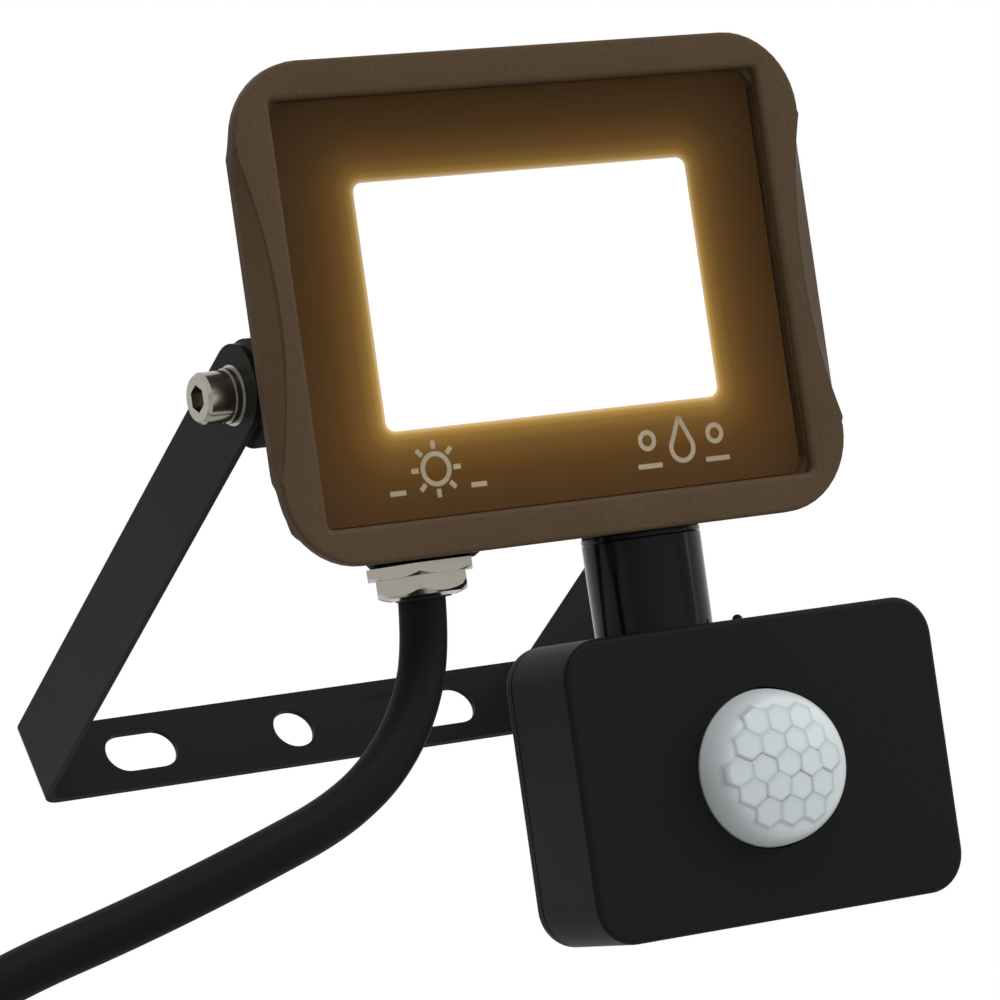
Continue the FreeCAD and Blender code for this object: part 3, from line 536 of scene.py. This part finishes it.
# Painted shade along the scoop's crease: the crease attribute mixes the rim's colour towards a dark brown.
crease_shade_value = node(rim_tree, "Attribute", attribute_name="crease").outputs["Fac"]
CREASE_SHADE_BROWN = (0.018, 0.011, 0.006, 1)
crease_shade_tone = node(rim_tree, "Mix", {0: crease_shade_value, 6: plain_tone, 7: CREASE_SHADE_BROWN}, data_type="RGBA")
rim_tree.links.new(crease_shade_tone.outputs[2], rim_shader.inputs["Base Color"])

# The scoop's crease carries painted shade, a soft dark line mixed into the rim's colour: darkest on the row
# where the facet starts, and gone on the row on each side.
CREASE_WIDTH = 0.35
CREASE_SHADE_STRENGTH = 0.75
crease_row = 7
first_row = rim_rows[crease_row]
second_row = rim_rows[crease_row + 1]
rim_rows.insert(crease_row + 1, first_row + (second_row - first_row) * 0.5)
before_row = rim_rows[crease_row - 1]
toward = first_row - before_row
toward = toward / np.linalg.norm(toward, axis=1)[:, None]
rim_rows.insert(crease_row, first_row - toward * CREASE_WIDTH)
rim = shell_of("front_rim", rim_rows, rim_material, replaced=["front_frame"])
in_scoop = np.abs(first_row[:, 2] - SCOOP_MIDDLE_Z) < SCOOP_HALF
in_scoop = in_scoop & (np.abs(first_row[:, 0]) < RIM_W / 2 - 0.1)
crease_shade_marks = np.zeros((len(rim_rows), len(first_row)), np.float32)
crease_shade_marks[crease_row + 1] = in_scoop * CREASE_SHADE_STRENGTH
rim.data.attributes.new("crease", "FLOAT", "POINT").data.foreach_set("value", crease_shade_marks.ravel())
print("rim of", len(rim_rows), "loops with", len(first_row), "points each")

# %% [markdown]
# ## Two plain marks on the print
# The lamp carries two small printed marks below the window. Here they are generic: a lamp with rays, and
# a water drop between two small rings. Each is a mesh of flat strips in front of the print.

# %% Marks
mark_material = finish("mark_ink", (0.30, 0.25, 0.17), 0.6, specular=0.05, size=2500, vary=0.3)


def strip_mark(lines, half_width=0.42, y=3.75):
    """Flat strips of an even width along polylines given as arrays of x, z points in the head frame."""
    points, faces = [], []
    for line in lines:
        line = np.asarray(line, float)
        along = np.gradient(line, axis=0)
        along /= np.linalg.norm(along, axis=1)[:, None]
        side = np.stack([-along[:, 1], along[:, 0]], 1) * half_width
        both = np.stack([line - side, line + side], 1).reshape(-1, 2)
        start = len(points)
        points += [(x, y, z) for x, z in both]
        faces += [tuple(f) for f in grid_faces(len(line), 2, start=start)]
    return points, faces


def circle_line(x, z, radius, count=28, turn_from=0.0, turn_to=2 * math.pi):
    """Points x, z on an arc: the middle plus the radius times the cosine and sine of even angles."""
    angle = np.linspace(turn_from, turn_to, count)
    return np.stack([x + radius * np.cos(angle), z + radius * np.sin(angle)], 1)


LAMP_MARK = (-24.3, -26.9)
LAMP_R, RAY_FROM, RAY_TO = 2.5, 3.3, 4.7
LAMP_BAR_Z, LAMP_BAR_FROM, LAMP_BAR_TO = -30.2, 6.2, 9.2
DROP_MARK = (23.8, -26.9)
DROP_R, DROP_DOWN, DROP_UP = 2.2, 1.2, 4.0
RING_R, RING_UP, RING_OUT = 1.4, 0.6, 6.8
DROP_BAR_Z, DROP_BAR_HALF = -30.6, 2.4

lamp_lines = [circle_line(*LAMP_MARK, LAMP_R)]
for k in range(8):
    ray = np.array([math.cos(k * math.pi / 4), math.sin(k * math.pi / 4)])
    lamp_lines.append(np.array([LAMP_MARK + ray * RAY_FROM, LAMP_MARK + ray * RAY_TO]))
for k in (-1, 1):
    bar_from = (LAMP_MARK[0] + k * LAMP_BAR_FROM, LAMP_BAR_Z)
    bar_to = (LAMP_MARK[0] + k * LAMP_BAR_TO, LAMP_BAR_Z)
    lamp_lines.append(np.array([bar_from, bar_to]))
belly_z = DROP_MARK[1] - DROP_DOWN
drop = circle_line(DROP_MARK[0], belly_z, DROP_R, 24, -math.pi * 1.2, math.pi * 0.2)
drop_tip = [(DROP_MARK[0], DROP_MARK[1] + DROP_UP)]
drop_lines = [np.concatenate([drop_tip, drop, drop_tip])]
for k in (-1, 1):
    x = DROP_MARK[0] + k * RING_OUT
    drop_lines.append(circle_line(x, DROP_MARK[1] + RING_UP, RING_R, 16))
    drop_lines.append(np.array([(x - DROP_BAR_HALF, DROP_BAR_Z), (x + DROP_BAR_HALF, DROP_BAR_Z)]))
for name, lines in (("lamp_mark", lamp_lines), ("drop_mark", drop_lines)):
    points, faces = strip_mark(lines)
    mark = new_mesh(name, from_head(points), faces, smooth=False)
    mark.data.materials.append(mark_material)
    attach(mark, "head")
    print(name, "of", len(lines), "strips")

# %% [markdown]
# ## Rear casting and bracket
# Behind the rim the casting is a little narrower than the CAD solid, so it hides behind the rim from the
# front left, and its gland seat is drafted. The bracket is thin strap, 1.2 mm, whose arms stand just
# outside the head. Both keep the CAD solid's holes and fins, so each is a merged copy of the CAD mesh
# whose walls are shifted by a simple rule.

# %% Copies with shifted walls
def to_head(points):
    """Common frame in m to the head frame in mm: the reverse of from_head."""
    return (np.asarray(points, float) / MM - PIVOT_PLACE) @ TILT_TURN + PIVOT


def reshaped(node_name, name, rule, slot_name, body):
    """Merged copy of a CAD node's mesh whose points in metres are changed by a rule."""
    mesh = nodes[node_name].data.copy()
    mesh.name = name
    work = bmesh.new()
    work.from_mesh(mesh)
    bmesh.ops.remove_doubles(work, verts=work.verts, dist=0.00001)
    work.to_mesh(mesh)
    work.free()
    points = np.empty(len(mesh.vertices) * 3, np.float32)
    mesh.vertices.foreach_get("co", points)
    changed = rule(points.reshape(-1, 3).astype(float))
    mesh.vertices.foreach_set("co", changed.astype(np.float32).ravel())
    mesh.materials.clear()
    mesh.materials.append(finishes[slot_name])
    mesh.update()
    mesh.polygons.foreach_set("use_smooth", np.full(len(mesh.polygons), True))
    mesh.set_sharp_from_angle(angle=math.radians(28))
    thing = bpy.data.objects.new(name, mesh)
    bpy.context.scene.collection.objects.link(thing)
    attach(thing, body)
    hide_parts(node_name)
    return thing


WALL_KEEP, WALL_OUT, BOSS_FROM = 44.0, 0.38, 48.8
SEAT_LOW = -41.3
SEAT_BORE_X, SEAT_BORE_KEEP = -23.4, 9.0
SEAT_BACK_FROM, SEAT_FRONT_TO = 20.0, 10.0
SEAT_LEFT_TO, SEAT_RIGHT_FROM = -30.0, -15.0
SEAT_BACK_Y, SEAT_FRONT_Y = 22.0, 12.0
SEAT_BACK_X, SEAT_FRONT_X, SEAT_RIGHT_X = -28.5, -31.0, -14.4


def casting_rule(points):
    """Side walls squeezed towards x = 44, bosses kept; the gland seat's low face drawn in."""
    p = to_head(points)
    wall = (np.abs(p[:, 0]) > WALL_KEEP) & (np.abs(p[:, 0]) < BOSS_FROM)
    squeezed = WALL_KEEP + (np.abs(p[:, 0]) - WALL_KEEP) * WALL_OUT
    p[wall, 0] = (np.sign(p[:, 0]) * squeezed)[wall]
    seat = (p[:, 2] < SEAT_LOW) & (np.abs(p[:, 0] - SEAT_BORE_X) > SEAT_BORE_KEEP)
    back = seat & (p[:, 1] > SEAT_BACK_FROM)
    front = seat & (p[:, 1] < SEAT_FRONT_TO)
    p[back, 1] = SEAT_BACK_Y
    p[front, 1] = SEAT_FRONT_Y
    p[back & (p[:, 0] < SEAT_LEFT_TO), 0] = SEAT_BACK_X
    p[front & (p[:, 0] < SEAT_LEFT_TO), 0] = SEAT_FRONT_X
    p[seat & (p[:, 0] > SEAT_RIGHT_FROM), 0] = SEAT_RIGHT_X
    return from_head(p)


STRAP_OLD, STRAP_NEW = 2.0, 1.2
ARM_OUT = 1.05
BEND_MIDDLE = 49.7
BEND_OUTER = 3.5
BEND_INNER_TO = 2.5
BAR_FRONT = -1.9
ARM_INNER_TO = 51.3
TIP_OUT = 1.5
PIVOT_KEEP = 5.0
HOLES_KEEP = 4.6
NARROWER = 0.9375
SLACK = 0.01


def strap_rule(points):
    """The inner face moves out to leave 1.2 mm, each arm moves out 1.05 mm and its tip grows 1.5 mm."""
    p = points / MM
    side = np.where(p[:, 0] < 0, -1.0, 1.0)
    x = np.abs(p[:, 0])
    thin = STRAP_OLD - STRAP_NEW
    from_bend = np.stack([x - BEND_MIDDLE, p[:, 1] + BEND_OUTER], 1)
    away = np.linalg.norm(from_bend, axis=1)
    in_bend = (x > BEND_MIDDLE + SLACK) & (p[:, 1] > -BEND_OUTER + SLACK)
    on_bar = (x <= BEND_MIDDLE + SLACK) & (p[:, 1] < BAR_FRONT)
    on_arm = (p[:, 1] <= -BEND_OUTER + SLACK) & (x < ARM_INNER_TO)
    inner_bend = in_bend & (away < BEND_INNER_TO)
    grown = 1 + thin / np.maximum(away, 0.1)
    x = np.where(inner_bend, BEND_MIDDLE + from_bend[:, 0] * grown, x)
    y = np.where(inner_bend, -BEND_OUTER + from_bend[:, 1] * grown, p[:, 1])
    y = np.where(on_bar, y + thin, y)
    x = np.where(on_arm, x + thin, x)
    x = np.where(x >= BEND_MIDDLE - SLACK, x + ARM_OUT, x)
    past = (y < -REACH - 0.1) & (np.hypot(y + REACH, p[:, 2]) > PIVOT_KEEP)
    z = np.where(np.abs(p[:, 2]) > HOLES_KEEP, p[:, 2] * NARROWER, p[:, 2])
    y = np.where(past, -REACH + (y + REACH) * NARROWER - TIP_OUT, y)
    return np.stack([side * x, y, z], 1) * MM


casting = reshaped("rear_housing", "rear_casting", casting_rule, "housing_black", "head")
strap = reshaped("mounting_bracket", "bracket_strap", strap_rule, "bracket_black", "bracket")
print("casting", len(casting.data.vertices), "points, strap", len(strap.data.vertices))

# %% [markdown]
# ## Neck
# The neck is a glossy moulded tube that goes straight down into the sensor box, with a groove under the
# seal. It is a turned profile: a row of radii and heights carried round the neck's axis.

# %% Neck
NECK_PROFILE = [
    (7.6, -34.0), (7.6, -40.9), (9.9, -41.0), (10.2, -41.2), (10.2, -41.8), (10.05, -42.0), (10.2, -42.2),
    (10.15, -50.0), (10.1, -57.7), (10.1, -58.6), (6.9, -58.8), (6.9, -63.4), (4.6, -63.6), (4.6, -34.0),
]
NECK_SIDES = 128
sides = np.linspace(0, 2 * math.pi, NECK_SIDES + 1)[:-1]
neck_rows = []
for radius, z in NECK_PROFILE:
    neck_x = NECK[0] + radius * np.cos(sides)
    neck_y = NECK[1] + radius * np.sin(sides)
    neck_rows.append(np.stack([neck_x, neck_y, np.full(NECK_SIDES, z)], 1))
shell_of("neck_tube", neck_rows, finishes["neck_gloss"], replaced=["sensor_neck"])
print("neck of", len(neck_rows), "rings")

# %% [markdown]
# ## Sensor lens
# The milky lens is moulded from thin polyethylene. Its rim rises steeply, rounds over, and carries
# nineteen hexagonal cells, each a small lens of its own. The tangent planes of a shallow bowl meet
# exactly on the borders of such cells, so the lowest of nineteen planes gives the cells' shape, and a
# fine groove marks each border.

# %% Lens
CELL_PITCH = 4.35
LENS_TOP = 8.7
CELLS_MIDDLE = (-1.2, 0.3)
LENS_EDGE_R = 13.5
LENS_BACK = 2.4
LENS_SIDES = 360
PIN_R = 0.02
SHOULDER_R = 10.6
SHOULDER_POWER = 2.6
SKIRT_DEPTH = 2.2
BOWL = 0.0170
BOWL_BELOW = 0.18
WANDER = 0.35
CELL_MARGIN = 0.12
CELL_RISE_MOST = 0.4
CELL_BLEND = 0.18
GROOVE_DEPTH, GROOVE_WIDTH, GROOVE_PAST = 0.10, 0.16, 0.3
GROOVE_SHADE_WIDTH, GROOVE_SHADE_PAST = 0.42, 0.5
PLAIN_FROM_R = 12.6


def cell_step(k):
    """One step of the cells' pitch in the direction of k sixths of a turn."""
    return np.array([math.cos(k * math.pi / 3), math.sin(k * math.pi / 3)]) * CELL_PITCH


cell_middles = [(0.0, 0.0)]
for k in range(6):
    first = cell_step(k)
    second = cell_step(k + 1)
    cell_middles += [tuple(first), tuple(first * 2), tuple(first + second)]
wander = np.random.default_rng(7).uniform(-WANDER, WANDER, (len(cell_middles), 2))
cell_middles = np.array(cell_middles) + CELLS_MIDDLE + wander
radial = np.concatenate([np.linspace(PIN_R, 12.0, 96), np.linspace(12.05, LENS_EDGE_R, 14)])
around = np.linspace(0, 2 * math.pi, LENS_SIDES + 1)[:-1]
ray_r, ray_t = np.meshgrid(radial, around, indexing="ij")
px, pz = ray_r * np.cos(ray_t), ray_r * np.sin(ray_t)
grid_places = np.stack([px, pz], -1)[:, :, None, :]
offset = grid_places - cell_middles
along_cells = (grid_places * cell_middles).sum(-1)
planes = LENS_TOP - BOWL * (2 * along_cells - (cell_middles ** 2).sum(-1))
faceted = planes.min(-1)
near = np.sort(np.linalg.norm(offset, axis=-1), axis=-1)
border = (near[:, :, 1] - near[:, :, 0]) / 2
sixths = np.arange(6) * math.pi / 3
hex_dirs = np.stack([np.cos(sixths), np.sin(sixths)], 1)
nearest = np.argmin(np.linalg.norm(offset, axis=-1), axis=-1)
own = np.take_along_axis(offset, nearest[:, :, None, None], axis=2)[:, :, 0]
edge = CELL_PITCH / 2 + CELL_MARGIN - (own @ hex_dirs.T).max(-1)
to_border = np.minimum(border, np.abs(edge))
smooth_top = LENS_TOP - BOWL_BELOW - BOWL * ray_r ** 2
drop_side = np.clip((ray_r - SHOULDER_R) / (LENS_EDGE_R - SHOULDER_R), 0, 1)
shoulder = 1 - np.sqrt(np.clip(1 - drop_side ** SHOULDER_POWER, 0, 1))
smooth_top = smooth_top - (smooth_top + SKIRT_DEPTH) * shoulder
in_cell = np.clip(edge / CELL_BLEND + 0.5, 0, 1)
rise = smooth_top + np.clip(faceted - smooth_top, 0, CELL_RISE_MOST) * in_cell
rise = rise - GROOVE_DEPTH * np.exp(-(to_border / GROOVE_WIDTH) ** 2) * (edge > -GROOVE_PAST)
rise = np.where(ray_r > PLAIN_FROM_R, smooth_top, rise)
# Painted shade: a band along each cell border where the lens colour is darkened, standing in for the shade
# in the groove.
groove_shade = np.exp(-(to_border / GROOVE_SHADE_WIDTH) ** 2) * (edge > -GROOVE_SHADE_PAST) * (ray_r < PLAIN_FROM_R)


def back_ring(radius):
    """Ring of lens points in the plane of its back."""
    back = np.full(LENS_SIDES, LENS_BACK)
    return np.stack([radius * np.cos(around), back, radius * np.sin(around)], -1)[None]


outer_points = np.stack([px, -rise, pz], -1)
lens_grid = np.concatenate([outer_points, back_ring(LENS_EDGE_R), back_ring(PIN_R)])
groove_shade = np.concatenate([groove_shade, np.zeros((2, LENS_SIDES))])
lens_faces = grid_faces(len(lens_grid), LENS_SIDES, True, True)
lens = new_mesh("lens_dome", from_box(lens_grid.reshape(-1, 3)), lens_faces)
groove_shade_values = lens.data.attributes.new("groove_shade", "FLOAT", "POINT")
groove_shade_values.data.foreach_set("value", groove_shade.ravel().astype(np.float32))

lens_material = bpy.data.materials.new("milky_lens")
lens_material.use_nodes = True
lens_tree = lens_material.node_tree
lens_shader = lens_tree.nodes["Principled BSDF"]
# Painted shade along the cell borders, plus a random cloudy tone, mix the milky colour towards its darker
# value.
groove_shade_value = node(lens_tree, "Attribute", attribute_name="groove_shade").outputs["Fac"]
MILK_PALE = (0.47, 0.512, 0.517, 1)
MILK_CLOUD_AND_SHADE = (0.22, 0.245, 0.25, 1)
CLOUD_SHARE, GROOVE_SHADE_SHARE = 0.15, 0.36
lens_place = node(lens_tree, "TexCoord").outputs["Object"]
cloud = node(lens_tree, "TexNoise", {"Vector": lens_place, "Scale": 250.0})
groove_shade_part = math_node(lens_tree, "MULTIPLY", groove_shade_value, GROOVE_SHADE_SHARE)
amount = math_node(lens_tree, "MULTIPLY_ADD", cloud.outputs[0], CLOUD_SHARE, groove_shade_part, clamp=True)
milk = node(lens_tree, "Mix", {0: amount, 6: MILK_PALE, 7: MILK_CLOUD_AND_SHADE}, data_type="RGBA")
lens_tree.links.new(milk.outputs[2], lens_shader.inputs["Base Color"])
lens_shader.inputs["Roughness"].default_value = 0.35
lens_shader.inputs["Specular IOR Level"].default_value = 0.3
lens.data.materials.append(lens_material)
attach(lens, "sensor")
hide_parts("fresnel_lens")
print("lens with", len(cell_middles), "cells and", len(lens.data.vertices), "points")

# %% [markdown]
# ## Studio
# A pale floor lies well below the light, and the world is white where the camera, a mirror or clear glass
# looks at it. The light on the object itself is much softer than that white, so that a colour renders
# about as it is written.

# %% Floor, world and lamps
FLOOR_HALF = 3.0
FLOOR_Z = -0.62
FLOOR_GLOW = 0.4
WORLD_LIGHT = 0.65
FLOOR_SIGNS = ((-1, -1), (1, -1), (1, 1), (-1, 1))
floor_corners = [(sx * FLOOR_HALF, sy * FLOOR_HALF, FLOOR_Z) for sx, sy in FLOOR_SIGNS]
floor = new_mesh("floor", floor_corners, [(0, 1, 2, 3)], smooth=False)
floor_material = bpy.data.materials.new("floor_white")
floor_material.use_nodes = True
floor_tree = floor_material.node_tree
floor_shader = floor_tree.nodes["Principled BSDF"]
floor_shader.inputs["Base Color"].default_value = (0.9, 0.9, 0.9, 1)
floor_path = node(floor_tree, "LightPath")
floor_shader.inputs["Emission Color"].default_value = (1, 1, 1, 1)
floor_glow = math_node(floor_tree, "MULTIPLY", floor_path.outputs["Is Camera Ray"], FLOOR_GLOW)
floor_tree.links.new(floor_glow, floor_shader.inputs["Emission Strength"])
floor.data.materials.append(floor_material)

world = bpy.data.worlds.new("studio")
bpy.context.scene.world = world
world.use_nodes = True
world_tree = world.node_tree
background = world_tree.nodes["Background"]
path = node(world_tree, "LightPath")
seen = math_node(world_tree, "MAXIMUM", path.outputs["Is Camera Ray"], path.outputs["Is Transmission Ray"])
seen = math_node(world_tree, "MAXIMUM", seen, path.outputs["Is Glossy Ray"])
strength = math_node(world_tree, "MULTIPLY_ADD", seen, 1 - WORLD_LIGHT, WORLD_LIGHT)
world_tree.links.new(strength, background.inputs["Strength"])
background.inputs["Color"].default_value = (1, 1, 1, 1)


LAMP_TARGET = (0, -0.1, -0.03)


def softbox(name, place, size, power):
    """Square area lamp at a place in metres, aimed at the light's middle."""
    data = bpy.data.lights.new(name, "AREA")
    data.shape = "SQUARE"
    data.size = size
    data.energy = power
    lamp = bpy.data.objects.new(name, data)
    aim = (Vector(LAMP_TARGET) - Vector(place)).to_track_quat("-Z", "Y")
    lamp.matrix_world = Matrix.Translation(place) @ aim.to_matrix().to_4x4()
    bpy.context.scene.collection.objects.link(lamp)
    return lamp


softbox("key", (-0.1, -1.4, 0.8), 0.7, 13.0)
softbox("fill", (1.0, -0.9, 0.1), 0.9, 6.0)

# %% View settings and finish
bpy.context.scene.view_settings.view_transform = "Standard"
bpy.context.view_layer.update()
